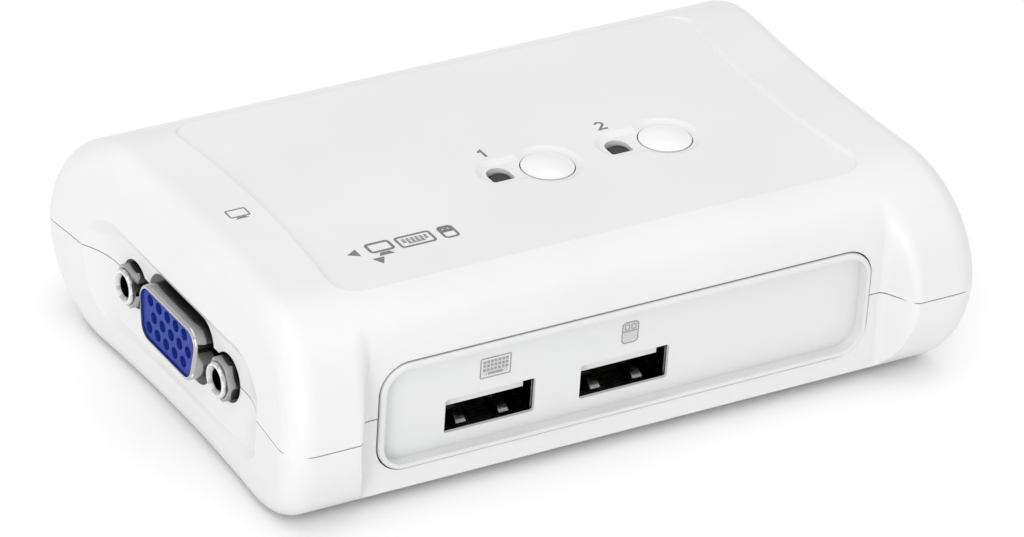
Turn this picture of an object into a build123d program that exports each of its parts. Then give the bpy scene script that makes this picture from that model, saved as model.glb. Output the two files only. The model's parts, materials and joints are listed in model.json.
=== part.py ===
"""Two-port desktop KVM switch, in millimetres.

+X runs along the long side, -Y is the front with the USB ports, -X is the end with the
console video port, and +Z is up. The origin is at the bottom centre, on the desk surface.
"""
from build123d import *
from math import acos, cos, degrees, radians, sin, sqrt, tan
import os

# ---------------------------------------------------------------- driving dimensions
# case
foot_stand = 0.8            # how far the rubber feet lift the case
base_z = foot_stand         # underside of the case
height = 27.9               # case height above its underside
parting_z = base_z + 12.8   # where the two covers meet
top_z = base_z + height
half_depth = 34.2           # centre to the front and back bulges
half_length = 49.0          # centre to the middle of each concave end
end_radius = 278.0          # radius of the concave ends, in plan
upper_draft = 4.2           # degrees that the ends lean in above the parting line
lower_draft = 5.0           # the same below it
end_fillet = 3.5
wall = 2.0
groove_height = 0.16        # fine groove along the parting line
groove_depth = 0.3

# side bulge profile
lower_bulge_radius = 13.5
lower_bulge_z = base_z + 11.8
upper_bulge_angle = 50.0
top_flat_y = 19.2           # the top is flat out to here
shoulder_radius = 15.5

# recesses in the front and back faces, between the end columns
recess_y = 29.6
recess_blend_angle = 60.0
flank_start_x = 37.6        # the column flanks swell out from here
flank_end_x = 41.2          # to here
flank_steps = (0.0, 0.12, 0.3, 0.5, 0.7, 0.88, 1.0)

# flat pocket round the console port on the -X end
pocket_x = 48.0
pocket_half_width = 17.0
pocket_flank_radius = 12.0
pocket_low = base_z + 5.0
pocket_high = base_z + 17.2
pocket_slope = 60.0         # the upper and lower edges run out at this angle
pocket_corner = 5.5

# cavity
cavity_x = 46.0
cavity_y = 27.6
floor_z = base_z + wall
ceiling_z = top_z - wall

# top panel
panel_depth = 0.5
panel_z = top_z - panel_depth
panel_half_length = 36.9
panel_half_depth = 23.0
panel_end_radius = 150.0
panel_corner = 3.0

# buttons and their dishes
button_x = (1.7, 19.3)
button_y = -4.85
button_diameter = 7.0
button_clearance = 0.15
button_travel = 0.25
button_dome = 0.75
dish_depth = 0.45
dish_z = panel_z - dish_depth
dish_radius = 3.9
window_dish_radius = 2.2
dish_slope = 62.0           # the dishes run out to the panel at this angle
stem_diameter = 3.2
button_flange_diameter = 8.6
button_flange_thickness = 0.8
guide_ring_height = 3.0

# status windows
window_offset = -6.8        # from each button's centre
window_y = -4.1
window_width = 3.2
window_depth = 3.3
lens_drop = 0.5

# circuit board
board_thickness = 1.6
board_top = base_z + 6.1
board_bottom = board_top - board_thickness
board_half_length = 43.6
board_front = -26.0
board_back = 25.0

# screws and bosses
screw_x = 40.0
screw_y = 21.5
screw_diameter = 3.0
screw_head_diameter = 5.4
screw_head_height = 1.9
screw_seat_z = base_z + 2.4
screw_tip_z = board_top + 8.0
boss_diameter = 7.2
screw_clearance = 0.03

# feet
foot_x = 30.0
foot_y = 21.0
foot_diameter = 9.0
foot_recess = 0.6

# front bezel
bezel_half_length = 36.0
bezel_low = base_z + 4.6
bezel_high = base_z + 19.9
bezel_corner = 4.0
bezel_lip_y = -30.0
bezel_floor_y = -28.3
bezel_lip = 0.7
bezel_floor_thickness = 1.4
bezel_gap = 0.2
bezel_flange = 1.2

# USB type A sockets
usb_x = (-19.2, 0.4)
usb_z = board_top + 3.5
usb_width = 13.1
usb_height = 5.7
usb_length = 14.0
usb_sheet = 0.3
usb_rim = 0.5               # thickness of the bezel in front of each shell
usb_front_y = bezel_floor_y + usb_rim + 0.1
usb_opening_width = 13.0
usb_opening_height = 4.85
tongue_width = 11.1
tongue_thickness = 1.4
tongue_length = 8.9
tongue_front_y = usb_front_y + 0.85
contact_pitch = 2.5
contact_width = 1.0

# 15-pin video sockets
port_flange_width = 30.8
port_flange_height = 12.3
port_flange_thickness = 0.8
port_reach = 5.9            # shell front to flange front
port_width = 16.33
port_height = 7.9
port_corner = 2.4
port_side_angle = 10.0
port_sheet = 0.45
port_z = board_top + 6.2
jackscrew_pitch = 24.99
jackscrew_flats = 5.0
jackscrew_length = 5.7
jackscrew_thread = 2.84     # 4-40 UNC
jackscrew_lead_in = 0.45
port_body_depth = 9.4
pin_pitch = 2.29
row_pitch = 1.98
socket_hole = 1.6
contact_radius = 0.45
console_flange_x = -44.2
computer_flange_y = 25.8
computer_x = (-20.0, 20.0)
port_gap = 1.0
notch_radius = 3.3

os.makedirs("parts", exist_ok=True)


def save(piece, name):
    """Label a finished piece and write it as one STEP file."""
    piece.part.label = name
    export_step(piece.part, f"parts/{name}.step")


# ---------------------------------------------------------------- case outlines
def case_section(side_y, side_angle):
    """Cross-section of the case with upright sides at +-side_y.

    Each side turns inward through side_angle, then the shoulder arc carries on to the flat top.
    Below, it meets the lower bulge, which curls right under; the base is cut flat later.
    """
    turn = radians(side_angle)
    side_radius = (side_y - top_flat_y - shoulder_radius * cos(turn)) / (1 - cos(turn))
    side_top = top_z - shoulder_radius + (shoulder_radius - side_radius) * sin(turn)
    bulge_centre_y = half_depth - lower_bulge_radius
    first_angle = degrees(acos((side_y - bulge_centre_y) / lower_bulge_radius))
    with BuildSketch(Plane.YZ) as section:
        with BuildLine():
            lower = CenterArc((bulge_centre_y, lower_bulge_z), lower_bulge_radius, -90, 90 - first_angle)
            side = Line(lower @ 1, (side_y, side_top))
            bulge = JernArc(side @ 1, (0, 1), side_radius, side_angle)
            shoulder = JernArc(bulge @ 1, bulge % 1, shoulder_radius, 90 - side_angle)
            Polyline(shoulder @ 1, (0, top_z), (0, lower_bulge_z - lower_bulge_radius), lower @ 0)
        make_face()
        mirror(about=Plane.YZ)
    return section.sketch_local


def concave_plan(half_x, radius, half_y, corner=0.0):
    """Plan outline with straight long sides and hollow ends."""
    with BuildSketch() as plan:
        end_x = half_x + radius - sqrt(radius**2 - half_y**2)
        with BuildLine():
            Line((-end_x, -half_y), (end_x, -half_y))
            ThreePointArc((end_x, -half_y), (half_x, 0), (end_x, half_y))
            Line((end_x, half_y), (-end_x, half_y))
            ThreePointArc((-end_x, half_y), (-half_x, 0), (-end_x, -half_y))
        make_face()
        if corner:
            fillet(plan.vertices(), radius=corner)
    return plan.sketch_local


def port_outline(grow=0.0):
    """D-shaped outline of a 15-pin video socket, wide side up, grown by a gap."""
    with BuildSketch() as outline:
        low_half = port_width / 2 - port_height * tan(radians(port_side_angle))
        with BuildLine():
            Polyline(
                (-port_width / 2, port_height / 2),
                (port_width / 2, port_height / 2),
                (low_half, -port_height / 2),
                (-low_half, -port_height / 2),
                close=True,
            )
        make_face()
        fillet(outline.vertices(), radius=port_corner)
        if grow:
            offset(amount=grow)
    return outline.sketch_local


def port_cutout():
    """Opening in the case for a video socket: the D shape and a notch for each jackscrew."""
    grown_port = port_outline(port_gap)
    with BuildSketch() as cutout:
        add(grown_port)
        with Locations((-jackscrew_pitch / 2, 0), (jackscrew_pitch / 2, 0)):
            Circle(notch_radius)
        Rectangle(jackscrew_pitch, port_height * 0.55)
    return cutout.sketch_local


console_plane = Plane(origin=(console_flange_x, 0, port_z), x_dir=(0, -1, 0), z_dir=(-1, 0, 0))
computer_planes = [
    Plane(origin=(x, computer_flange_y, port_z), x_dir=(-1, 0, 0), z_dir=(0, 1, 0)) for x in computer_x
]
screw_spots = [(x, y) for x in (-screw_x, screw_x) for y in (-screw_y, screw_y)]
foot_spots = [(x, y) for x in (-foot_x, foot_x) for y in (-foot_y, foot_y)]

# ---------------------------------------------------------------- case block and cavity
reach = half_length + 10
column_section = case_section(half_depth, upper_bulge_angle)
recessed_section = case_section(recess_y, recess_blend_angle)
end_plan = concave_plan(half_length, end_radius, half_depth + 8)
groove_ends = concave_plan(half_length - groove_depth, end_radius, half_depth + 8)
cutout_outline = port_cutout()

with BuildPart() as column:
    with BuildSketch(Plane.YZ.offset(flank_end_x)):
        add(column_section)
    extrude(amount=reach - flank_end_x)

with BuildPart() as flank:
    for step in flank_steps:
        ease = step**2 * (3 - 2 * step)
        flank_section = case_section(
            recess_y + ease * (half_depth - recess_y),
            recess_blend_angle + ease * (upper_bulge_angle - recess_blend_angle),
        )
        with BuildSketch(Plane.YZ.offset(flank_start_x + step * (flank_end_x - flank_start_x))):
            add(flank_section)
    loft()

with BuildPart() as end_envelope:
    with BuildSketch(Plane.XY.offset(parting_z)) as parting_plan:
        add(end_plan)
    extrude(amount=height, taper=upper_draft)
    extrude(parting_plan.sketch, amount=-height, taper=lower_draft)

with BuildPart() as case_block:
    with BuildSketch(Plane.YZ):
        add(recessed_section)
    extrude(amount=flank_start_x, both=True)
    add(flank.part)
    add(column.part)
    mirror(flank.part, about=Plane.YZ)
    mirror(column.part, about=Plane.YZ)
    add(end_envelope.part, mode=Mode.INTERSECT)

with BuildPart() as cavity:
    with BuildSketch(Plane.YZ):
        add(column_section)
        offset(amount=-wall)
        with Locations((0, floor_z)):
            Rectangle(2 * half_depth, height, align=(Align.CENTER, Align.MIN), mode=Mode.INTERSECT)
    extrude(amount=cavity_x, both=True)
    with BuildSketch(Plane.XY):
        with Locations((0, cavity_y)):
            Rectangle(2 * (flank_end_x + 0.8), reach, align=(Align.CENTER, Align.MIN))
        mirror(about=Plane.XZ)
    extrude(amount=top_z, mode=Mode.SUBTRACT)

pocket_plane = Plane(
    origin=(-pocket_x, 0, (pocket_low + pocket_high) / 2), x_dir=(0, -1, 0), z_dir=(-1, 0, 0)
)
with BuildPart() as pocket:
    with BuildSketch(Plane.XY) as pocket_plan:
        with BuildLine():
            flat = Line((-pocket_x, 0), (-pocket_x, pocket_half_width))
            curve = JernArc(flat @ 1, (0, 1), pocket_flank_radius, 60)
            Polyline(curve @ 1, (-reach, (curve @ 1).Y), (-reach, 0), flat @ 0)
        make_face()
        mirror(about=Plane.XZ)
    extrude(amount=top_z)
    with BuildSketch(pocket_plane):
        RectangleRounded(2 * (pocket_half_width + 4), pocket_high - pocket_low, pocket_corner)
    extrude(amount=4, taper=-pocket_slope, mode=Mode.INTERSECT)

# fine groove all round the parting line
flank_middle = ((flank_start_x + flank_end_x + groove_depth) / 2, (recess_y + half_depth) / 2 - groove_depth)
with BuildSketch() as groove_inside:
    with BuildLine():
        recess_line = Line((0, recess_y - groove_depth), (flank_start_x, recess_y - groove_depth))
        flank_line = Spline(
            recess_line @ 1,
            flank_middle,
            (flank_end_x + groove_depth, half_depth - groove_depth),
            tangents=((1, 0), (1, 0)),
        )
        Polyline(flank_line @ 1, (reach, half_depth - groove_depth), (reach, 0), (0, 0), recess_line @ 0)
    make_face()
    mirror(about=Plane.YZ)
    mirror(about=Plane.XZ)
    add(groove_ends, mode=Mode.INTERSECT)
with BuildSketch() as pocket_inside:
    with Locations((groove_depth, 0)):
        add(pocket_plan.sketch)
with BuildPart() as parting_groove:
    with BuildSketch(Plane.XY.offset(parting_z - groove_height)):
        Rectangle(3 * reach, 3 * reach)
        add(groove_inside.sketch, mode=Mode.SUBTRACT)
        add(pocket_inside.sketch)
    extrude(amount=groove_height + 1)

with BuildPart() as bezel_opening:
    with BuildSketch(Plane.XZ.offset(cavity_y - wall)):
        with Locations((0, (bezel_low + bezel_high) / 2)):
            RectangleRounded(
                2 * (bezel_half_length + bezel_gap),
                bezel_high - bezel_low + 2 * bezel_gap,
                bezel_corner + bezel_gap,
            )
    extrude(amount=reach)

with BuildPart() as port_openings:
    for plane in [console_plane] + computer_planes:
        with BuildSketch(plane):
            add(cutout_outline)
    extrude(amount=reach)


# ---------------------------------------------------------------- case covers
dish_spots = [(x, button_y) for x in button_x]
window_spots = [(x + window_offset, window_y) for x in button_x]
panel_plan = concave_plan(panel_half_length, panel_end_radius, panel_half_depth, panel_corner)


def window_outline(width, depth):
    """Status window: straight at the front, arched at the back."""
    with BuildSketch() as window:
        with BuildLine():
            front = Line((-width / 2, -depth / 2), (width / 2, -depth / 2))
            right = Line(front @ 1, (width / 2, 0))
            arch = ThreePointArc(right @ 1, (0, depth / 2), (-width / 2, 0))
            Line(arch @ 1, front @ 0)
        make_face()
        fillet(window.vertices().sort_by(Axis.Y)[:2], radius=0.4)
    return window.sketch_local


window_hole = window_outline(window_width, window_depth)

with BuildSketch(Plane.XY.offset(dish_z)) as dish_plan:
    for button_spot, window_spot in zip(dish_spots, window_spots):
        with Locations(button_spot):
            Circle(dish_radius)
        with Locations(window_spot):
            Circle(window_dish_radius)
        with Locations(((button_spot[0] + window_spot[0]) / 2, window_y)):
            Rectangle(-window_offset, 2 * window_dish_radius)

with BuildPart() as top_cover:
    add(case_block.part)
    split(bisect_by=Plane.XY.offset(parting_z), keep=Keep.TOP)
    for end_face in (top_cover.faces().sort_by(Axis.X)[0], top_cover.faces().sort_by(Axis.X)[-1]):
        rim = end_face.edges().filter_by(lambda e: e.center().Z > parting_z + 0.1)
        fillet(rim, radius=end_fillet)
    add(pocket.part, mode=Mode.SUBTRACT)
    add(cavity.part, mode=Mode.SUBTRACT)
    # screw bosses, hanging from the ceiling to the circuit board
    with BuildSketch(Plane.XY.offset(board_top)):
        with Locations(screw_spots):
            Circle(boss_diameter / 2)
    extrude(amount=ceiling_z + 0.3 - board_top)
    # guide rings round the button stems
    with BuildSketch(Plane.XY.offset(ceiling_z - guide_ring_height)):
        with Locations(dish_spots):
            Circle(button_flange_diameter / 2 + 1.0)
    extrude(amount=guide_ring_height + 0.1)
    with BuildSketch(Plane.XY.offset(ceiling_z - guide_ring_height)):
        with Locations(dish_spots):
            Circle(button_flange_diameter / 2 + 0.2)
    extrude(amount=guide_ring_height, mode=Mode.SUBTRACT)
    with BuildSketch(Plane.XY.offset(board_top)):
        with Locations(screw_spots):
            Circle(screw_diameter / 2 + screw_clearance)
    extrude(amount=screw_tip_z + 0.5 - board_top, mode=Mode.SUBTRACT)
    # recessed panel, button dishes, button holes and status windows
    with BuildSketch(Plane.XY.offset(panel_z)):
        add(panel_plan)
    extrude(amount=1, taper=-40, mode=Mode.SUBTRACT)
    extrude(dish_plan.sketch, amount=dish_depth + 0.1, taper=-dish_slope, mode=Mode.SUBTRACT)
    with BuildSketch(Plane.XY.offset(ceiling_z - 0.1)):
        with Locations(dish_spots):
            Circle(button_diameter / 2 + button_clearance)
        with Locations(window_spots):
            add(window_hole)
    extrude(amount=wall + 1, mode=Mode.SUBTRACT)
    add(bezel_opening.part, mode=Mode.SUBTRACT)
    add(port_openings.part, mode=Mode.SUBTRACT)
save(top_cover, "top_cover")

with BuildPart() as bottom_cover:
    add(case_block.part)
    split(bisect_by=Plane.XY.offset(parting_z), keep=Keep.BOTTOM)
    for end_face in (bottom_cover.faces().sort_by(Axis.X)[0], bottom_cover.faces().sort_by(Axis.X)[-1]):
        rim = end_face.edges().filter_by(lambda e: e.center().Z < parting_z - 0.1)
        fillet(rim, radius=end_fillet)
    split(bisect_by=Plane.XY.offset(base_z), keep=Keep.TOP)
    add(pocket.part, mode=Mode.SUBTRACT)
    add(cavity.part, mode=Mode.SUBTRACT)
    with BuildSketch(Plane.XY.offset(floor_z - 0.1)):
        with Locations(screw_spots):
            Circle(boss_diameter / 2)
    extrude(amount=board_bottom - floor_z + 0.1)
    with Locations([(x, y, base_z) for x, y in screw_spots]):
        Cylinder(
            screw_head_diameter / 2 + 0.3,
            screw_seat_z - base_z,
            align=(Align.CENTER, Align.CENTER, Align.MIN),
            mode=Mode.SUBTRACT,
        )
        Cylinder(
            screw_diameter / 2 + 0.15,
            board_bottom - base_z,
            align=(Align.CENTER, Align.CENTER, Align.MIN),
            mode=Mode.SUBTRACT,
        )
    with Locations([(x, y, base_z) for x, y in foot_spots]):
        Cylinder(
            foot_diameter / 2 + 0.1,
            foot_recess,
            align=(Align.CENTER, Align.CENTER, Align.MIN),
            mode=Mode.SUBTRACT,
        )
    add(bezel_opening.part, mode=Mode.SUBTRACT)
    add(port_openings.part, mode=Mode.SUBTRACT)
    add(parting_groove.part, mode=Mode.SUBTRACT)
save(bottom_cover, "bottom_cover")

# ---------------------------------------------------------------- front bezel
bezel_middle = (bezel_low + bezel_high) / 2
bezel_height = bezel_high - bezel_low
usb_seat_gap = 0.2

with BuildPart() as front_bezel:
    with BuildSketch(Plane.XZ.offset(-bezel_lip_y)):
        with Locations((0, bezel_middle)):
            RectangleRounded(2 * bezel_half_length, bezel_height, bezel_corner)
    extrude(amount=bezel_lip_y - bezel_floor_y - bezel_floor_thickness)
    fillet(front_bezel.faces().sort_by(Axis.Y)[0].edges(), radius=0.3)
    # flange behind the case wall, which keeps the bezel from falling out
    with BuildSketch(Plane.XZ.offset(cavity_y - bezel_gap)):
        with Locations((0, bezel_middle)):
            RectangleRounded(
                2 * (bezel_half_length + bezel_flange), bezel_height + 2 * bezel_flange, bezel_corner + 1
            )
    extrude(amount=-1.0)
    # the dish
    with BuildSketch(Plane.XZ.offset(-bezel_floor_y)):
        with Locations((0, bezel_middle)):
            RectangleRounded(
                2 * (bezel_half_length - bezel_lip), bezel_height - 2 * bezel_lip, bezel_corner - bezel_lip
            )
    extrude(amount=bezel_floor_y - bezel_lip_y + 1, mode=Mode.SUBTRACT)
    # openings for the USB plugs, with a seat behind each for the front of its shell
    with BuildSketch(Plane.XZ.offset(-bezel_floor_y - 3)):
        with Locations([(x, usb_z) for x in usb_x]):
            RectangleRounded(usb_opening_width, usb_opening_height, 0.35)
    extrude(amount=6, mode=Mode.SUBTRACT)
    with BuildSketch(Plane.XZ.offset(-bezel_floor_y - usb_rim)):
        with Locations([(x, usb_z) for x in usb_x]):
            Rectangle(usb_width + 2 * usb_seat_gap, usb_height + 2 * usb_seat_gap)
    extrude(amount=-3, mode=Mode.SUBTRACT)
save(front_bezel, "front_bezel")

# ---------------------------------------------------------------- buttons
switch_height = 9.5         # board to plunger top
button_play = 0.05          # stem to plunger
button_edge_z = dish_z + 0.1
button_flange_z = ceiling_z - 0.2
stem_low = board_top + switch_height + button_play

for number, x in enumerate(button_x, start=1):
    with BuildPart() as button:
        with BuildSketch(Plane.XZ.offset(-button_y)):
            with BuildLine():
                cap_radius = button_diameter / 2
                flange_radius = button_flange_diameter / 2
                stem_radius = stem_diameter / 2
                dome = ThreePointArc(
                    (0, button_edge_z + button_dome),
                    (cap_radius * 0.55, button_edge_z + button_dome * 0.72),
                    (cap_radius, button_edge_z),
                )
                Polyline(
                    dome @ 1,
                    (cap_radius, button_flange_z),
                    (flange_radius, button_flange_z),
                    (flange_radius, button_flange_z - button_flange_thickness),
                    (stem_radius, button_flange_z - button_flange_thickness),
                    (stem_radius, stem_low),
                    (0, stem_low),
                    dome @ 0,
                )
            make_face()
        revolve(axis=Axis((0, button_y, 0), (0, 0, 1)))
    button.part.position = (x, 0, 0)
    save(button, f"button_{number}")

# ---------------------------------------------------------------- light pipes and lamps
lens_width = 2.5
lens_depth = 2.6
lens_shift = 0.2            # the lens sits toward the front right of its window
lens_top = dish_z - lens_drop
lamp_height = 5.3
lamp_radius = 1.5
pipe_low = board_top + lamp_height + 0.4

for number, (x, y) in enumerate(window_spots, start=1):
    lens_outline = window_outline(lens_width, lens_depth)
    with BuildPart() as light_pipe:
        with BuildSketch(Plane.XY.offset(pipe_low)):
            with Locations((x + lens_shift, y - lens_shift)):
                add(lens_outline)
        extrude(amount=lens_top - pipe_low)
        with BuildSketch(Plane.XY.offset(ceiling_z - 1.0)):
            with Locations((x, y)):
                Rectangle(lens_width, 5.0)
        extrude(amount=1.0)
    save(light_pipe, f"light_pipe_{number}")

    with BuildPart() as lamp:
        with BuildSketch(Plane.XY.offset(board_top + 0.4)):
            with Locations((x, y)):
                Circle(lamp_radius + 0.3)
        extrude(amount=1.0)
        with BuildSketch(Plane.XY.offset(board_top + 1.4)):
            with Locations((x, y)):
                Circle(lamp_radius)
        extrude(amount=lamp_height - 1.4)
        fillet(lamp.faces().sort_by(Axis.Z)[-1].edges(), radius=lamp_radius - 0.05)
        with BuildSketch(Plane.XY.offset(board_top)):
            with Locations((x - 1.27 / 2 - 0.1, y), (x + 1.27 / 2 + 0.1, y)):
                Rectangle(0.5, 0.5)
        extrude(amount=0.4)
    save(lamp, f"led_{number}")

# ---------------------------------------------------------------- tact switches
switch_side = 6.0
switch_body = 3.1
switch_plate = 0.3
well_radius = 2.3
well_floor = board_top + 0.9
plunger_radius = 1.7
plate_hole_gap = 0.1
dome_radius = 2.1
dome_rise = 0.42
dome_sheet = 0.11
dome_gap = 0.23             # plunger tip to dome, at the end of the travel
plunger_tip_radius = 0.8
plunger_tip_low = well_floor + dome_rise + button_travel + dome_gap
plunger_collar_low = board_top + 2.25
plunger_collar = 0.75

for number, x in enumerate(button_x, start=1):
    centre = (x, button_y)
    with BuildPart() as switch_base:
        with BuildSketch(Plane.XY.offset(board_top)):
            with Locations(centre):
                RectangleRounded(switch_side, switch_side, 0.3)
        extrude(amount=switch_body)
        with BuildSketch(Plane.XY.offset(well_floor)):
            with Locations(centre):
                Circle(well_radius)
        extrude(amount=switch_body, mode=Mode.SUBTRACT)
    save(switch_base, f"switch_{number}_base")

    with BuildPart() as switch_plate_part:
        with BuildSketch(Plane.XY.offset(board_top + switch_body)):
            with Locations(centre):
                RectangleRounded(switch_side, switch_side, 0.3)
                Circle(plunger_radius + plate_hole_gap, mode=Mode.SUBTRACT)
        extrude(amount=switch_plate)
    save(switch_plate_part, f"switch_{number}_cover_plate")

    with BuildPart() as dome_spring:
        with BuildSketch(Plane.XZ.offset(-button_y)):
            with BuildLine():
                Polyline(
                    (0, well_floor + dome_rise),
                    (dome_radius / 2, well_floor + dome_rise - 0.04),
                    (dome_radius, well_floor + dome_sheet + 0.01),
                    (dome_radius, well_floor + 0.01),
                    (dome_radius / 2, well_floor + dome_rise - 0.04 - dome_sheet),
                    (0, well_floor + dome_rise - dome_sheet),
                    close=True,
                )
            make_face()
        revolve(axis=Axis((0, button_y, 0), (0, 0, 1)))
    dome_spring.part.position = (x, 0, 0)
    save(dome_spring, f"switch_{number}_snap_dome")

    with BuildPart() as plunger:
        with BuildSketch(Plane.XY.offset(plunger_collar_low)):
            with Locations(centre):
                Circle(well_radius - 0.15)
        extrude(amount=plunger_collar)
        with BuildSketch(Plane.XY.offset(plunger_collar_low + plunger_collar)):
            with Locations(centre):
                Circle(plunger_radius)
        extrude(amount=board_top + switch_height - plunger_collar_low - plunger_collar)
        with BuildSketch(Plane.XY.offset(plunger_tip_low)):
            with Locations(centre):
                Circle(plunger_tip_radius)
        extrude(amount=plunger_collar_low - plunger_tip_low)
    save(plunger, f"switch_{number}_plunger")

# ---------------------------------------------------------------- USB type A sockets
usb_back_y = usb_front_y + usb_length
usb_leg_width = 2.4
usb_floor_z = usb_z - usb_height / 2 + usb_sheet
usb_finger_x = 3.1
usb_finger_width = 1.4
usb_finger_rise = 0.75
tongue_back_y = tongue_front_y + tongue_length
tongue_z = usb_z + 1.35

for number, x in enumerate(usb_x, start=1):
    front_plane = Plane(origin=(x, usb_front_y, usb_z), x_dir=(1, 0, 0), z_dir=(0, -1, 0))
    with BuildPart() as usb_shell:
        with BuildSketch(front_plane):
            RectangleRounded(usb_width, usb_height, 0.6)
            RectangleRounded(usb_width - 2 * usb_sheet, usb_height - 2 * usb_sheet, 0.3, mode=Mode.SUBTRACT)
        extrude(amount=-usb_length)
        # spring fingers bowed up from the floor
        for finger_x in (x - usb_finger_x, x + usb_finger_x):
            with BuildSketch(Plane.YZ.offset(finger_x)):
                with BuildLine():
                    floor = Line((usb_front_y + 1.0, usb_floor_z), (usb_front_y + 5.0, usb_floor_z))
                    ThreePointArc(floor @ 0, (usb_front_y + 2.2, usb_floor_z + usb_finger_rise), floor @ 1)
                make_face()
            extrude(amount=usb_finger_width / 2, both=True)
        # legs standing on the board
        leg_x = (usb_width - usb_sheet) / 2
        with BuildSketch(Plane.XY.offset(board_top)):
            for leg_y in (usb_front_y + 5.5, usb_back_y - 2.0):
                with Locations((x - leg_x, leg_y), (x + leg_x, leg_y)):
                    Rectangle(usb_sheet, usb_leg_width)
        extrude(amount=1.8)
    save(usb_shell, f"usb_{number}_shell")

    with BuildPart() as usb_insulator:
        with BuildSketch(front_plane.offset(usb_front_y - tongue_front_y)):
            with Locations((0, tongue_z - usb_z)):
                Rectangle(tongue_width, tongue_thickness)
        extrude(amount=-tongue_length - 1.0)
        with BuildSketch(front_plane.offset(usb_front_y - tongue_back_y)):
            RectangleRounded(usb_width - 2 * usb_sheet - 0.1, usb_height - 2 * usb_sheet - 0.1, 0.25)
        extrude(amount=tongue_back_y - usb_back_y + 0.1)
        # grooves under the tongue, one for each contact
        with BuildSketch(front_plane.offset(usb_front_y - tongue_front_y - 0.6)):
            with Locations(
                [((i - 1.5) * contact_pitch, tongue_z - usb_z - tongue_thickness / 2) for i in range(4)]
            ):
                Rectangle(contact_width + 0.2, 0.6)
        extrude(amount=-usb_length, mode=Mode.SUBTRACT)
    save(usb_insulator, f"usb_{number}_tongue")

    with BuildPart() as usb_contacts:
        contact_level = tongue_z - usb_z - tongue_thickness / 2 + 0.12
        contact_spots = [((i - 1.5) * contact_pitch, contact_level) for i in range(4)]
        with BuildSketch(front_plane.offset(usb_front_y - tongue_front_y - 0.9)):
            with Locations(contact_spots):
                Rectangle(contact_width, 0.25)
        extrude(amount=tongue_front_y + 0.9 - usb_back_y - 0.8)
        with BuildSketch(Plane.XY.offset(board_top)):
            with Locations([(x + (i - 1.5) * contact_pitch, usb_back_y + 0.65) for i in range(4)]):
                Rectangle(0.7, 0.3)
        extrude(amount=tongue_z - tongue_thickness / 2 + 0.2 - board_top)
    save(usb_contacts, f"usb_{number}_contacts")

# ---------------------------------------------------------------- 15-pin video sockets
rear_block_width = 17.5
rear_block_height = 9.0
rear_block_depth = 3.0
ear_width = 5.6
screw_hole_radius = jackscrew_thread / 2 + 0.25
pin_spots = [
    ((column_index - 2) * pin_pitch + shift, row * row_pitch)
    for row, shift in ((1, -pin_pitch / 4), (0, pin_pitch / 4), (-1, -pin_pitch / 4))
    for column_index in range(5)
]
screw_pair = [(-jackscrew_pitch / 2, 0), (jackscrew_pitch / 2, 0)]
shell_outline = port_outline()
shell_inside = port_outline(-port_sheet)
insulator_outline = port_outline(-port_sheet - 0.05)


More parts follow.
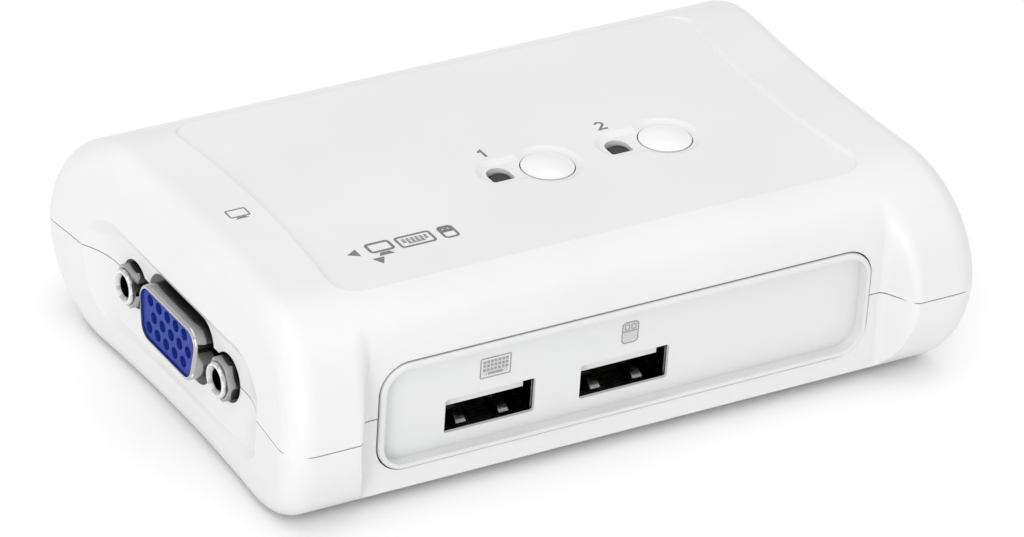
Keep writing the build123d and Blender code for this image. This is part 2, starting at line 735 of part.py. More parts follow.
def video_socket(plane, prefix):
    """One right-angle 15-pin video socket; plane is at the flange's front face, facing outward."""
    with BuildPart() as shell:
        with BuildSketch(plane):
            RectangleRounded(port_flange_width, port_flange_height, 1.5)
        extrude(amount=-port_flange_thickness)
        with BuildSketch(plane):
            add(shell_outline)
        extrude(amount=port_reach)
        front_rim = shell.faces().sort_by(Axis(plane.origin, plane.z_dir))[-1].edges()
        fillet(front_rim, radius=0.4)
        with BuildSketch(plane.offset(-port_flange_thickness)):
            add(shell_inside)
            with Locations(screw_pair):
                Circle(screw_hole_radius)
        extrude(amount=port_reach + 2, mode=Mode.SUBTRACT)
    save(shell, f"{prefix}_shell")

    with BuildPart() as insulator:
        with BuildSketch(plane.offset(-port_flange_thickness)):
            add(insulator_outline)
        extrude(amount=port_flange_thickness + port_reach - 0.35)
        with BuildSketch(plane.offset(-port_flange_thickness)):
            RectangleRounded(rear_block_width, rear_block_height, 0.5)
        extrude(amount=-rear_block_depth)
        with BuildSketch(plane.offset(-port_flange_thickness - rear_block_depth)):
            with Locations(pin_spots):
                Circle(socket_hole / 2)
        extrude(amount=port_reach + 2 * rear_block_depth, mode=Mode.SUBTRACT)
    save(insulator, f"{prefix}_insulator")

    # each contact: a socket tube in the insulator and a tail down to the board
    with BuildPart() as contacts:
        for row in (1, 0, -1):
            row_pins = [(px, py) for px, py in pin_spots if abs(py - row * row_pitch) < 0.01]
            tail_depth = -port_flange_thickness - rear_block_depth - 3.0 - 2.2 * row
            with BuildSketch(plane.offset(port_reach - 1.2)):
                with Locations(row_pins):
                    Circle(contact_radius)
            extrude(amount=tail_depth - port_reach + 1.2)
            tail_plane = Plane(
                origin=plane.origin + plane.z_dir * (tail_depth + 0.3), x_dir=plane.x_dir, z_dir=(0, 0, -1)
            )
            with BuildSketch(tail_plane.offset(-row * row_pitch)):
                with Locations([(px, 0) for px, _ in row_pins]):
                    Rectangle(0.6, 0.6)
            extrude(amount=plane.origin.Z + row * row_pitch - board_top)
    save(contacts, f"{prefix}_contacts")

    # mounting bracket behind the flange: an ear at each side and a bar over the tails
    with BuildPart() as bracket:
        with BuildSketch(plane.offset(-port_flange_thickness)):
            with Locations((0, (port_flange_height - 0.2) / 2 + board_top - port_z)):
                Rectangle(port_flange_width, port_flange_height - 0.2)
                Rectangle(port_flange_width - 2 * ear_width, port_flange_height, mode=Mode.SUBTRACT)
            with Locations((0, port_flange_height / 2 - 0.75)):
                Rectangle(port_flange_width, 1.2)
        extrude(amount=-port_body_depth)
        with BuildSketch(plane.offset(-port_flange_thickness - port_body_depth)):
            with Locations(screw_pair):
                Circle(screw_hole_radius)
        extrude(amount=port_body_depth, mode=Mode.SUBTRACT)
    save(bracket, f"{prefix}_bracket")

    with BuildPart() as jackscrews:
        with BuildSketch(plane):
            with Locations(screw_pair):
                RegularPolygon(jackscrew_flats / 2, 6, major_radius=False)
        extrude(amount=jackscrew_length - 0.5)
        with BuildSketch(plane.offset(jackscrew_length - 0.5)):
            with Locations(screw_pair):
                Circle(jackscrew_flats / 2 - 0.1)
        extrude(amount=0.5)
        tips = jackscrews.faces().sort_by(Axis(plane.origin, plane.z_dir))[-2:].edges()
        chamfer(tips, length=0.25)
        with BuildSketch(plane):
            with Locations(screw_pair):
                Circle(jackscrew_thread / 2)
        extrude(amount=-7.0)
        with BuildSketch(plane.offset(0.9)):
            with Locations(screw_pair):
                Circle(jackscrew_thread / 2)
        extrude(amount=jackscrew_length, mode=Mode.SUBTRACT)
        with BuildSketch(plane.offset(jackscrew_length)):
            with Locations(screw_pair):
                Circle(jackscrew_thread / 2 + jackscrew_lead_in)
        extrude(amount=-jackscrew_lead_in, taper=45, mode=Mode.SUBTRACT)
    save(jackscrews, f"{prefix}_jackscrews")


video_socket(console_plane, "console_port")
for number, plane in enumerate(computer_planes, start=1):
    video_socket(plane, f"computer_port_{number}")

# ---------------------------------------------------------------- circuit board and what is on it
with BuildPart() as circuit_board:
    with BuildSketch(Plane.XY.offset(board_bottom)):
        with Locations((0, (board_front + board_back) / 2)):
            RectangleRounded(2 * board_half_length, board_back - board_front, 1.0)
        with Locations(screw_spots):
            Circle(screw_diameter / 2 + 0.15, mode=Mode.SUBTRACT)
    extrude(amount=board_thickness)
save(circuit_board, "circuit_board")


chip_standoff = 0.15
chip_thickness = 1.4
lead_width = 0.4
lead_reach = 1.0
lead_thickness = 0.3


def flat_chip(name, centre, width, depth, leads, lead_pitch):
    """Surface-mount chip: a body with a row of leads along its two long sides."""
    with BuildPart() as chip:
        with BuildSketch(Plane.XY.offset(board_top + chip_standoff)):
            with Locations(centre):
                Rectangle(width, depth)
        extrude(amount=chip_thickness)
        chamfer(chip.faces().sort_by(Axis.Z)[-1].edges(), length=0.2)
        lead_x = [centre[0] + (i - (leads - 1) / 2) * lead_pitch for i in range(leads)]
        with BuildSketch(Plane.XY.offset(board_top)):
            with Locations([(x, centre[1]) for x in lead_x]):
                Rectangle(lead_width, depth + 2 * lead_reach)
        extrude(amount=lead_thickness)
    save(chip, name)


flat_chip("controller_chip", (28.0, 2.0), 10.0, 10.0, 11, 0.8)
flat_chip("video_switch_chip", (-18.0, 2.0), 12.8, 7.5, 10, 1.27)
flat_chip("memory_chip", (35.0, -10.0), 5.0, 4.0, 4, 1.27)

with BuildPart() as crystal:
    with BuildSketch(Plane.XY.offset(board_top)):
        with Locations((34.5, 10.5)):
            SlotOverall(11.0, 4.7)
    extrude(amount=3.5)
    fillet(crystal.faces().sort_by(Axis.Z)[-1].edges(), radius=0.5)
save(crystal, "crystal")

with BuildPart() as capacitors:
    with BuildSketch(Plane.XY.offset(board_top)):
        with Locations((-8.0, -9.5), (12.0, -11.0), (30.0, -18.0)):
            Circle(2.5)
    extrude(amount=5.4)
    fillet(capacitors.faces().filter_by(Axis.Z).group_by(Axis.Z)[-1].edges(), radius=0.3)
save(capacitors, "capacitors")

# ---------------------------------------------------------------- fasteners and feet
with BuildPart() as case_screws:
    with BuildSketch(Plane.XY.offset(screw_seat_z - screw_head_height)):
        with Locations(screw_spots):
            Circle(screw_head_diameter / 2)
    extrude(amount=screw_head_height)
    with BuildSketch(Plane.XY.offset(screw_seat_z)):
        with Locations(screw_spots):
            Circle(screw_diameter / 2)
    extrude(amount=screw_tip_z - screw_seat_z)
    for x, y in screw_spots:
        with Locations((x, y, screw_seat_z - screw_head_height)):
            for turn in (0, 90):
                Box(
                    3.0,
                    0.7,
                    1.0,
                    rotation=(0, 0, turn),
                    align=(Align.CENTER, Align.CENTER, Align.MIN),
                    mode=Mode.SUBTRACT,
                )
save(case_screws, "case_screws")

with BuildPart() as rubber_feet:
    with BuildSketch():
        with Locations(foot_spots):
            Circle(foot_diameter / 2)
    extrude(amount=base_z + foot_recess)
    fillet(rubber_feet.faces().filter_by(Axis.Z).group_by(Axis.Z)[0].edges(), radius=0.3)
save(rubber_feet, "rubber_feet")
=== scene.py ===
# Looks of the two-port KVM switch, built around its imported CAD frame. Metres, +Z up.
import json
import math
import bpy
import bmesh
from mathutils import Matrix, Vector


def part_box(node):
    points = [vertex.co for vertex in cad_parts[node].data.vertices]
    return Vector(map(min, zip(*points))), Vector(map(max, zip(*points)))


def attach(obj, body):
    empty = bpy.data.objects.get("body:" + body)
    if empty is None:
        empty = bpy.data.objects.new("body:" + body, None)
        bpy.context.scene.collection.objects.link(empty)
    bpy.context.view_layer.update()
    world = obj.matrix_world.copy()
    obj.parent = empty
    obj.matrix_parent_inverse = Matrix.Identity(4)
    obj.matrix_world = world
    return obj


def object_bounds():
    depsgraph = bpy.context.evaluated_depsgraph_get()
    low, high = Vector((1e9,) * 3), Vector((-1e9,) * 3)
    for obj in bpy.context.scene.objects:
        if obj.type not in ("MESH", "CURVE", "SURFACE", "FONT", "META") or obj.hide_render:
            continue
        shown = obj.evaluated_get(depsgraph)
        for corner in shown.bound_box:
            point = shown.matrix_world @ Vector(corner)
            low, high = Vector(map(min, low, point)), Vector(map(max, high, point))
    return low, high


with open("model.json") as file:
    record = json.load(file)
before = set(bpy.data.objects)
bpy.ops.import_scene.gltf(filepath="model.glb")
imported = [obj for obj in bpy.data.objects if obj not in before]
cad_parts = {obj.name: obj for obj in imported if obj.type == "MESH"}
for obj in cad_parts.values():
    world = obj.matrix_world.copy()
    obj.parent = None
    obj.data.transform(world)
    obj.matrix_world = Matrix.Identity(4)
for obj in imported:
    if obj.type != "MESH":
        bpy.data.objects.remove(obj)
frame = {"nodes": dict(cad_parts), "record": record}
cad_low, cad_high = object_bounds()
MM = 0.001

# ---------------------------------------------------------------- where things are
centre = (cad_low + cad_high) / 2
top_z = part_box("top_cover")[1][2]
PANEL_DEPTH = 0.5 * MM
panel_z = top_z - PANEL_DEPTH
bezel_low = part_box("front_bezel")[0]
BEZEL_DISH_DEPTH = 1.7 * MM
bezel_floor_y = bezel_low[1] + BEZEL_DISH_DEPTH
window_boxes = [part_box(f"light_pipe_{number}") for number in (1, 2)]
usb_boxes = [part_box(f"usb_{number}_shell") for number in (1, 2)]
INK_THICKNESS = 0.03 * MM
GROUND_THICKNESS = 0.4 * INK_THICKNESS


# ---------------------------------------------------------------- materials
class Nodes:
    """Small helper that adds and links shader nodes in one material."""

    def __init__(self, name):
        self.material = bpy.data.materials.new(name)
        self.material.use_nodes = True
        self.tree = self.material.node_tree
        self.shader = self.tree.nodes["Principled BSDF"]
        self.place = self.add("ShaderNodeTexCoord").outputs["Object"]

    def add(self, kind, **settings):
        node = self.tree.nodes.new(kind)
        for key, value in settings.items():
            setattr(node, key, value)
        return node

    def link(self, output, socket):
        self.tree.links.new(output, socket)

    def noise(self, scale, detail=3.0, roughness=0.5, stretch=None):
        """Noise value; scale is in cycles per metre."""
        node = self.add("ShaderNodeTexNoise")
        node.inputs["Scale"].default_value = scale
        node.inputs["Detail"].default_value = detail
        node.inputs["Roughness"].default_value = roughness
        if stretch:
            mapping = self.add("ShaderNodeMapping")
            mapping.inputs["Scale"].default_value = stretch
            self.link(self.place, mapping.inputs["Vector"])
            self.link(mapping.outputs["Vector"], node.inputs["Vector"])
        else:
            self.link(self.place, node.inputs["Vector"])
        return node.outputs["Fac"]

    def ramp(self, value, stops):
        """Colour ramp; stops are (position, colour or grey)."""
        node = self.add("ShaderNodeValToRGB")
        elements = node.color_ramp.elements
        for index, (position, colour) in enumerate(stops):
            element = elements[index] if index < 2 else elements.new(position)
            element.position = position
            element.color = (*colour, 1) if isinstance(colour, tuple) else (colour, colour, colour, 1)
        self.link(value, node.inputs["Fac"])
        return node.outputs["Color"]

    def mix(self, factor, first, second, blend="MIX"):
        """Mixed colour of two colours or colour outputs."""
        node = self.add("ShaderNodeMix", data_type="RGBA", blend_type=blend)
        for socket, value in ((node.inputs[0], factor), (node.inputs[6], first), (node.inputs[7], second)):
            if isinstance(value, bpy.types.NodeSocket):
                self.link(value, socket)
            elif isinstance(value, tuple):
                socket.default_value = (*value, 1)
            elif socket.type == "RGBA":
                socket.default_value = (value, value, value, 1)
            else:
                socket.default_value = value
        return node.outputs[2]

    def edge_wear(self, low=0.52, high=0.6):
        """1 along convex edges, 0 elsewhere."""
        geometry = self.add("ShaderNodeNewGeometry")
        return self.ramp(geometry.outputs["Pointiness"], [(low, 0.0), (high, 1.0)])

    def recess_shade(self, reach, low=0.25, high=0.8):
        """0 deep in recesses, 1 on open surfaces: the mask for painted shade."""
        node = self.add("ShaderNodeAmbientOcclusion", samples=6)
        node.inputs["Distance"].default_value = reach
        return self.ramp(node.outputs["AO"], [(low, 0.0), (high, 1.0)])

    def bump(self, height, strength, distance, below=None):
        node = self.add("ShaderNodeBump")
        node.inputs["Strength"].default_value = strength
        node.inputs["Distance"].default_value = distance
        self.link(height, node.inputs["Height"])
        if below is not None:
            self.link(below, node.inputs["Normal"])
        return node.outputs["Normal"]

    def finish(self, colour, roughness, normal=None, **uniform):
        self.link(colour, self.shader.inputs["Base Color"])
        self.link(roughness, self.shader.inputs["Roughness"])
        if normal is not None:
            self.link(normal, self.shader.inputs["Normal"])
        for key, value in uniform.items():
            self.shader.inputs[key].default_value = value
        return self.material


def moulded_plastic(
    name, colour, roughness, grain=2600.0, grain_depth=0.012, coat=0.0, crevice_shade=0.0, shine=0.5
):
    """Injection-moulded plastic: faint mottling, mould grain, rubbed edges, painted shade in the crevices.
    """
    n = Nodes(name)
    shade = tuple(c * 0.965 for c in colour)
    warm = (colour[0], colour[1] * 0.995, colour[2] * 0.98)
    mottled = n.ramp(n.noise(45.0, 4.0), [(0.35, shade), (0.65, colour)])
    tinted = n.mix(n.ramp(n.noise(14.0, 2.0), [(0.4, 0.0), (0.8, 0.35)]), mottled, warm)
    rubbed = n.edge_wear()
    wear_and_painted_shade = n.mix(n.mix(1.0, rubbed, 0.25, "MULTIPLY"), tinted, tuple(min(1.0, c * 1.03) for c in colour))
    # painted shade: the colour darkens where ambient occlusion finds a crevice, standing in for shade in
    # grooves, gaps and holes
    if crevice_shade:
        painted_shade_colour = tuple(c * (1 - crevice_shade) for c in colour)
        wear_and_painted_shade = n.mix(n.recess_shade(1.3 * MM, 0.12, 0.5), painted_shade_colour, wear_and_painted_shade)
    smears = n.noise(120.0, 5.0, 0.6)
    rough_map = n.ramp(smears, [(0.3, roughness * 0.88), (0.7, roughness * 1.12)])
    rough_worn = n.mix(rubbed, rough_map, tuple([roughness * 0.8] * 3))
    fine = n.bump(n.noise(grain * 3, 2.0), 0.35, grain_depth * MM * 0.5)
    relief = n.bump(n.noise(grain, 4.0, 0.65), 0.5, grain_depth * MM, fine)
    surface = {"Coat Weight": coat, "Coat Roughness": 0.15, "IOR": 1.5, "Specular IOR Level": shine}
    return n.finish(wear_and_painted_shade, rough_worn, relief, **surface)


def plated_metal(
    name,
    colour,
    roughness,
    stretch=(1.0, 1.0, 1.0),
    scratch=0.006,
    tarnish=0.12,
    recess_shade=0.0,
    reach=2.5,
    shut=0.25,
):
    """Plated sheet or turned metal: drawn scratches, tarnish spots, painted shade that deepens in
    recesses, bright rubbed edges with a painted highlight.
    """
    n = Nodes(name)
    dull = tuple(c * (1 - tarnish) for c in colour)
    spots = n.ramp(n.noise(260.0, 5.0, 0.6), [(0.35, dull), (0.62, colour)])
    rubbed = n.edge_wear(0.51, 0.58)
    # brighter along convex edges: rubbed wear, plus a painted highlight made stronger where the recess
    # darkening is strong
    rubbed_edge_and_highlight = tuple(min(1.0, c * (1.12 + recess_shade * 0.8)) for c in colour)
    bright = n.mix(n.mix(1.0, rubbed, 0.9, "MULTIPLY"), spots, rubbed_edge_and_highlight)
    # painted shade: ambient occlusion darkens the metal in recesses to stand in for shade and dark
    # reflections
    if recess_shade:
        painted_shade_colour = tuple(c * (1 - recess_shade) for c in colour)
        bright = n.mix(n.recess_shade(reach * MM, shut, shut + 0.5), painted_shade_colour, bright)
    lines = n.noise(1400.0, 3.0, 0.6, stretch)
    rough_map = n.ramp(lines, [(0.3, roughness * 0.7), (0.7, roughness * 1.35)])
    relief = n.bump(lines, 0.3, scratch * MM)
    return n.finish(bright, rough_map, relief, Metallic=1.0)


def clear_plastic(name, colour, roughness):
    """Cast acrylic with a little haze."""
    n = Nodes(name)
    tint = n.ramp(n.noise(500.0, 3.0), [(0.3, tuple(c * 0.92 for c in colour)), (0.7, colour)])
    haze = n.ramp(n.noise(900.0, 4.0), [(0.3, roughness * 0.8), (0.7, roughness * 1.3)])
    relief = n.bump(n.noise(1500.0, 2.0), 0.2, 0.004 * MM)
    surface = {"Transmission Weight": 0.4, "IOR": 1.49, "Specular IOR Level": 0.35}
    return n.finish(tint, haze, relief, **surface)


def printed_ink(name, colour):
    """Pad-printed ink with slightly uneven cover."""
    n = Nodes(name)
    light = tuple(min(1.0, c * 1.25) for c in colour)
    cover = n.ramp(n.noise(3500.0, 4.0, 0.7), [(0.35, colour), (0.75, light)])
    rough_map = n.ramp(n.noise(2000.0, 2.0), [(0.3, 0.42), (0.7, 0.56)])
    relief = n.bump(n.noise(5000.0, 2.0), 0.3, 0.004 * MM)
    return n.finish(cover, rough_map, relief)


def laminate_board(name):
    """Green solder mask over copper, with the tracks just showing."""
    n = Nodes(name)
    bare, copper = (0.012, 0.12, 0.045), (0.02, 0.2, 0.08)
    tracks = n.ramp(n.noise(700.0, 1.0, 0.2, (1.0, 0.15, 1.0)), [(0.48, bare), (0.52, copper)])
    rough_map = n.ramp(n.noise(400.0, 3.0), [(0.3, 0.28), (0.7, 0.4)])
    relief = n.bump(n.noise(2500.0, 2.0), 0.3, 0.01 * MM)
    return n.finish(tracks, rough_map, relief)


WHITE = (0.735, 0.735, 0.735)
looks = {
    # the case and bezel crevice values darken the parting groove, the window walls and the bezel gap with
    # painted shade
    "case_plastic": moulded_plastic("case_plastic_look", WHITE, 0.36, coat=0.12, crevice_shade=0.35),
    "bezel_plastic": moulded_plastic("bezel_plastic_look", (0.695, 0.70, 0.70), 0.42, crevice_shade=0.3),
    "button_plastic": moulded_plastic(
        "button_plastic_look", (0.80, 0.80, 0.80), 0.22, grain_depth=0.004, coat=0.4
    ),
    # the light pipes are clear acrylic; their near-black tint is painted shade standing in for the dark
    # window holes
    "clear_lens": clear_plastic("clear_lens_painted_shade_look", (0.02, 0.02, 0.022), 0.28),
    "led_epoxy": clear_plastic("led_epoxy_look", (0.55, 0.62, 0.55), 0.15),
    "black_plastic": moulded_plastic("black_plastic_look", (0.018, 0.018, 0.019), 0.45),
    # plated_steel: ambient occlusion darkens the inside of the USB shells to near black with painted shade
    "plated_steel": plated_metal(
        "plated_steel_look", (0.60, 0.60, 0.59), 0.24, (0.2, 4.0, 1.0), recess_shade=0.96, reach=14.0, shut=0.45
    ),
    "white_insulator": moulded_plastic("white_insulator_look", (0.74, 0.74, 0.73), 0.4),
    "gold_contact": plated_metal("gold_contact_look", (0.95, 0.72, 0.36), 0.22),
    # bright_nickel: the D-shell flange in its gap is darkened with painted shade
    "bright_nickel": plated_metal(
        "bright_nickel_look", (0.50, 0.50, 0.495), 0.15, (3.0, 0.3, 1.0), 0.003, recess_shade=0.96, shut=0.36
    ),
    # the blue insulator's crevice value darkens the pin holes with painted shade
    "blue_insulator": moulded_plastic(
        "blue_insulator_look", (0.010, 0.035, 0.30), 0.5, 3500.0, 0.01, crevice_shade=0.85, shine=0.2
    ),
    "board_laminate": laminate_board("board_laminate_look"),
    "aluminium_can": plated_metal("aluminium_can_look", (0.82, 0.82, 0.83), 0.3),
    "screw_steel": plated_metal("screw_steel_look", (0.55, 0.55, 0.56), 0.32),
    "foot_rubber": moulded_plastic("foot_rubber_look", (0.03, 0.03, 0.03), 0.75, 1800.0, 0.05),
}
ink = printed_ink("printed_ink_look", (0.15, 0.15, 0.155))
grey_ink = printed_ink("printed_grey_ink_look", (0.27, 0.27, 0.275))
pale_ink = printed_ink("printed_pale_ink_look", (0.50, 0.50, 0.505))

slot_of = {row["node"]: row["material_slot"] for row in frame["record"]["subparts"]}
for node_name, node_object in frame["nodes"].items():
    for material_slot in node_object.material_slots:
        material_slot.material = looks[slot_of[node_name]]


# ---------------------------------------------------------------- printed marks
class Print:
    """Flat marks drawn on one plane and raised by the ink's thickness, joined as one mesh."""

    def __init__(self, name, origin, right, up):
        self.name = name
        self.origin, self.right, self.up = Vector(origin), Vector(right), Vector(up)
        self.normal = self.right.cross(self.up)
        self.mesh = bmesh.new()
        self.thickness = INK_THICKNESS

    def at(self, x, y, lift):
        return self.origin + self.right * (x * MM) + self.up * (y * MM) + self.normal * lift

    def polygon(self, points):
        """A filled shape from its corners, in millimetres on the plane, anticlockwise."""
        low = [self.mesh.verts.new(self.at(x, y, 0.0)) for x, y in points]
        high = [self.mesh.verts.new(self.at(x, y, self.thickness)) for x, y in points]
        self.mesh.faces.new(high)
        self.mesh.faces.new(low[::-1])
        for i in range(len(points)):
            j = (i + 1) % len(points)
            self.mesh.faces.new((low[i], low[j], high[j], high[i]))

    def box(self, x, y, width, height):
        """A filled rectangle about its middle."""
        w, h = width / 2, height / 2
        self.polygon([(x - w, y - h), (x + w, y - h), (x + w, y + h), (x - w, y + h)])

    def band(self, points, width, closed=False):
        """A line of even width along the points, in quads with mitred joints."""
        count = len(points)
        lefts, rights = [], []
        for i, (x, y) in enumerate(points):
            before = points[(i - 1) % count] if closed or i > 0 else None
            after = points[(i + 1) % count] if closed or i < count - 1 else None
            directions = []
            for start, end in ((before, (x, y)), ((x, y), after)):
                if start is not None and end is not None:
                    directions.append(Vector((end[0] - start[0], end[1] - start[1])).normalized())
            along = sum(directions, Vector((0, 0))).normalized()
            across = Vector((-along.y, along.x))
            reach = width / 2 / max(0.4, abs(across.dot(Vector((-directions[0].y, directions[0].x)))))
            lefts.append((x + across.x * reach, y + across.y * reach))
            rights.append((x - across.x * reach, y - across.y * reach))
        for i in range(count if closed else count - 1):
            j = (i + 1) % count
            self.polygon([rights[i], rights[j], lefts[j], lefts[i]])

    def done(self, material):
        bmesh.ops.recalc_face_normals(self.mesh, faces=self.mesh.faces)
        data = bpy.data.meshes.new(self.name)
        self.mesh.to_mesh(data)
        self.mesh.free()
        data.materials.append(material)
        piece = bpy.data.objects.new(self.name, data)
        bpy.context.scene.collection.objects.link(piece)
        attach(piece, "case")
        return piece


def rounded_box(x, y, width, height, radius, steps=5):
    """Corner points of a rounded rectangle about its middle."""
    points = []
    for quarter, (sx, sy) in enumerate(((1, -1), (1, 1), (-1, 1), (-1, -1))):
        cx, cy = x + sx * (width / 2 - radius), y + sy * (height / 2 - radius)
        for step in range(steps + 1):
            angle = math.radians(-90 + 90 * quarter + 90 * step / steps)
            points.append((cx + radius * math.cos(angle), cy + radius * math.sin(angle)))
    return points


def draw_monitor(mark, x, y, width, height, line):
    """Screen outline on a foot."""
    mark.band(rounded_box(x, y, width, height, line), line, closed=True)
    foot_y = y - height / 2 - line * 1.6
    foot_wide, foot_narrow = width * 0.34, width * 0.2
    foot_bottom, foot_top = foot_y - line, foot_y + line * 0.7
    mark.polygon(
        [
            (x - foot_wide, foot_bottom),
            (x + foot_wide, foot_bottom),
            (x + foot_narrow, foot_top),
            (x - foot_narrow, foot_top),
        ]
    )


def draw_keyboard(mark, x, y, width, height, line, columns=8, rows=3):
    """Keyboard outline with rows of keys and a space bar."""
    mark.band(rounded_box(x, y, width, height, line), line, closed=True)
    pitch_x = (width - 3 * line) / columns
    pitch_y = (height - 3 * line) / (rows + 1)
    for row in range(rows):
        for column in range(columns):
            key_x = x + (column - (columns - 1) / 2) * pitch_x
            key_y = y + height / 2 - 1.5 * line - (row + 0.5) * pitch_y
            mark.box(key_x, key_y, pitch_x * 0.66, pitch_y * 0.62)
    mark.box(x, y - height / 2 + 1.5 * line + pitch_y * 0.5, width * 0.5, pitch_y * 0.6)


def draw_mouse(mark, x, y, width, height, line):
    """Mouse outline with two buttons."""
    mark.band(rounded_box(x, y, width, height, width * 0.24), line, closed=True)
    split_y = y + height * 0.06
    mark.band([(x - width / 2 + line / 2, split_y), (x + width / 2 - line / 2, split_y)], line)
    for side in (-1, 1):
        key_x, key_y = x + side * width * 0.2, y + height * 0.27
        key = rounded_box(key_x, key_y, width * 0.26, height * 0.24, width * 0.06, 3)
        mark.band(key, line * 0.8, closed=True)


def arc_points(x, y, radius_x, radius_y, start, end, steps):
    """Points along part of an ellipse, with the angles in degrees."""
    return [
        (
            x + radius_x * math.cos(math.radians(start + (end - start) * i / steps)),
            y + radius_y * math.sin(math.radians(start + (end - start) * i / steps)),
        )
        for i in range(steps + 1)
    ]


top_axes = ((1, 0, 0), (0, 1, 0))
front_axes = ((1, 0, 0), (0, 0, 1))

# numerals beside the status windows
NUMERAL_HEIGHT = 1.9
for number, (low, high) in enumerate(window_boxes, start=1):
    middle = (Vector(low) + Vector(high)) / 2
    numeral = Print(f"numeral_{number}", (middle.x + 0.3 * MM, middle.y + 4.9 * MM, panel_z), *top_axes)
    half = NUMERAL_HEIGHT / 2
    if number == 1:
        numeral.band([(-0.46, half - 0.55), (0.08, half - 0.16), (0.08, -half)], 0.34)
    else:
        bowl = arc_points(0.0, half - 0.52, 0.5, 0.48, 165, -35, 12)
        numeral.band(bowl + [(-0.55, -half + 0.15), (0.66, -half + 0.15)], 0.32)
    numeral.done(ink)

# console arrows and the pictograms that stand in for the word beside them
CONSOLE_MARK_PLACE = (-31.6 * MM, -14.7 * MM, panel_z)
arrow_mark = Print("console_arrows", CONSOLE_MARK_PLACE, *top_axes)
arrow_mark.polygon([(-1.4, 0.0), (0.1, -0.85), (0.1, 0.85)])
arrow_mark.polygon([(1.0, -2.1), (1.85, -3.6), (2.7, -2.1)])
arrow_mark.done(ink)
console_mark = Print("console_pictograms", CONSOLE_MARK_PLACE, *top_axes)
draw_monitor(console_mark, 3.3, 0.25, 3.2, 2.0, 0.4)
draw_keyboard(console_mark, 8.3, 0.0, 4.8, 2.4, 0.34, columns=6)
draw_mouse(console_mark, 13.0, 0.0, 1.9, 2.6, 0.34)
console_mark.done(ink)

# screen pictogram on the rim above the console socket
RIM_MARK_PLACE = (-40.9 * MM, -0.5 * MM, top_z)
rim_mark = Print("console_screen_mark", RIM_MARK_PLACE, *top_axes)
draw_monitor(rim_mark, 0.0, 0.0, 2.7, 1.75, 0.2)
rim_mark.done(ink)

# keyboard and mouse pictograms above the front sockets
MARK_HEIGHT = 5.7 * MM
MARK_SHIFT = 0.45 * MM
PORT_HALF_HEIGHT = 2.85 * MM
for number, (low, high) in enumerate(usb_boxes, start=1):
    middle_x = (low[0] + high[0]) / 2 + MARK_SHIFT
    middle_z = high[2] - PORT_HALF_HEIGHT + MARK_HEIGHT
    name = ("keyboard_mark", "mouse_mark")[number - 1]
    mark = Print(name, (middle_x, bezel_floor_y, middle_z), *front_axes)
    back = Print(name + "_ground", (middle_x, bezel_floor_y, middle_z), *front_axes)
    back.thickness = GROUND_THICKNESS
    if number == 1:
        draw_keyboard(mark, 0.0, 0.0, 4.3, 2.8, 0.17, columns=7)
        back.polygon(rounded_box(0.0, 0.0, 3.7, 2.2, 0.2))
    else:
        draw_mouse(mark, 0.0, 0.0, 2.35, 3.0, 0.17)
        back.polygon(rounded_box(0.0, 0.0, 2.3, 2.95, 0.5))
    mark.done(grey_ink)
    back.done(pale_ink)


# ---------------------------------------------------------------- floor, light and camera
def pale_floor():
    """Plain pale floor."""
    n = Nodes("floor_look")
    colour = n.ramp(n.noise(6.0, 2.0), [(0.3, 0.93), (0.7, 0.95)])
    rough_map = n.ramp(n.noise(30.0, 2.0), [(0.3, 0.6), (0.7, 0.7)])
    material = n.finish(colour, rough_map)
    n.shader.inputs["Specular IOR Level"].default_value = 0.2
    mesh = bmesh.new()
    bmesh.ops.create_grid(mesh, x_segments=8, y_segments=8, size=3.0)
    data = bpy.data.meshes.new("floor")
    mesh.to_mesh(data)
    mesh.free()
    data.materials.append(material)
    floor = bpy.data.objects.new("floor", data)
    bpy.context.scene.collection.objects.link(floor)


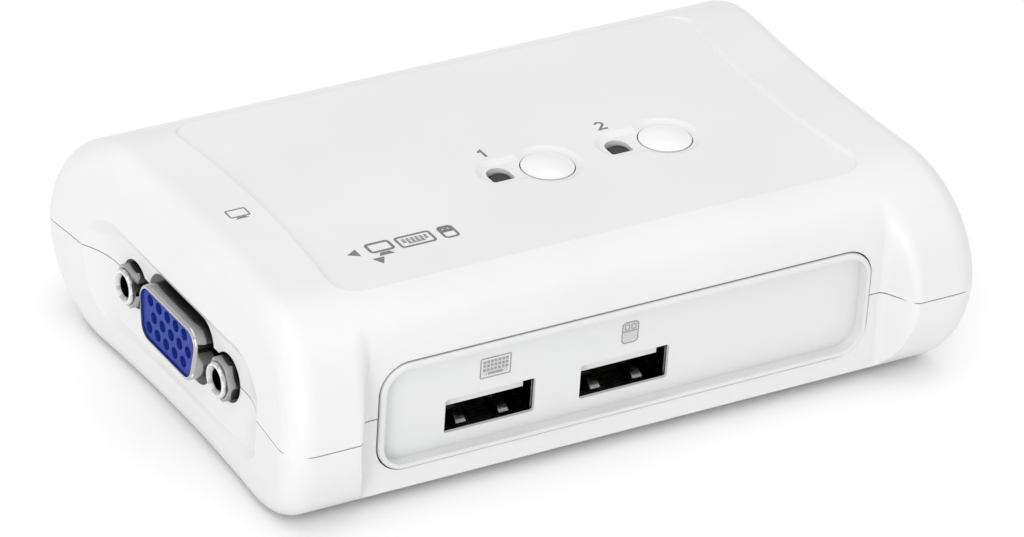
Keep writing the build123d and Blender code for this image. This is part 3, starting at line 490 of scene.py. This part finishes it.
def soft_light(name, place, size, power):
    """Rectangular soft box aimed at the middle of the object."""
    data = bpy.data.lights.new(name, "AREA")
    data.shape = "RECTANGLE"
    data.size, data.size_y = size
    data.energy = power
    lamp = bpy.data.objects.new(name, data)
    lamp.location = centre + Vector(place)
    lamp.rotation_euler = (-Vector(place)).to_track_quat("-Z", "Y").to_euler()
    bpy.context.scene.collection.objects.link(lamp)


pale_floor()
soft_light("overhead_box", (0.0, -0.1, 1.1), (1.4, 1.4), 5.4)
soft_light("left_box", (-0.95, 0.05, 0.5), (0.6, 0.7), 0.5)
soft_light("corner_box", (-0.8, -0.7, 0.3), (0.3, 0.6), 3.1)
soft_light("front_box", (-0.45, -0.95, 0.35), (0.7, 0.4), 0.5)

world = bpy.data.worlds.new("studio")
world.use_nodes = True
world.node_tree.nodes["Background"].inputs["Color"].default_value = (1.0, 1.0, 1.0, 1.0)
world.node_tree.nodes["Background"].inputs["Strength"].default_value = 0.785
bpy.context.scene.world = world
bpy.context.scene.view_settings.view_transform = "Standard"

VIEW_AZIMUTH = math.radians(-32.18)
VIEW_ELEVATION = math.radians(30.25)
VIEW_ROLL = math.radians(3.94)
VIEW_DISTANCE = 0.8387
VIEW_LENS = 228.3
AIM_RIGHT = 0.16 * MM
AIM_UP = -3.38 * MM

back = Vector(
    (
        math.sin(VIEW_AZIMUTH) * math.cos(VIEW_ELEVATION),
        -math.cos(VIEW_AZIMUTH) * math.cos(VIEW_ELEVATION),
        math.sin(VIEW_ELEVATION),
    )
)
level_right = Vector((0, 0, 1)).cross(back).normalized()
level_up = back.cross(level_right)
right = math.cos(VIEW_ROLL) * level_right + math.sin(VIEW_ROLL) * level_up
up = math.cos(VIEW_ROLL) * level_up - math.sin(VIEW_ROLL) * level_right
camera_data = bpy.data.cameras.new("camera")
camera_data.lens = VIEW_LENS
camera_data.sensor_width = 36.0
camera_data.clip_start = 0.05
camera = bpy.data.objects.new("camera", camera_data)
axes = Matrix((right, up, back)).transposed().to_4x4()
stand = centre + right * AIM_RIGHT + up * AIM_UP + back * VIEW_DISTANCE
camera.matrix_world = Matrix.Translation(stand) @ axes
bpy.context.scene.collection.objects.link(camera)
bpy.context.scene.camera = camera
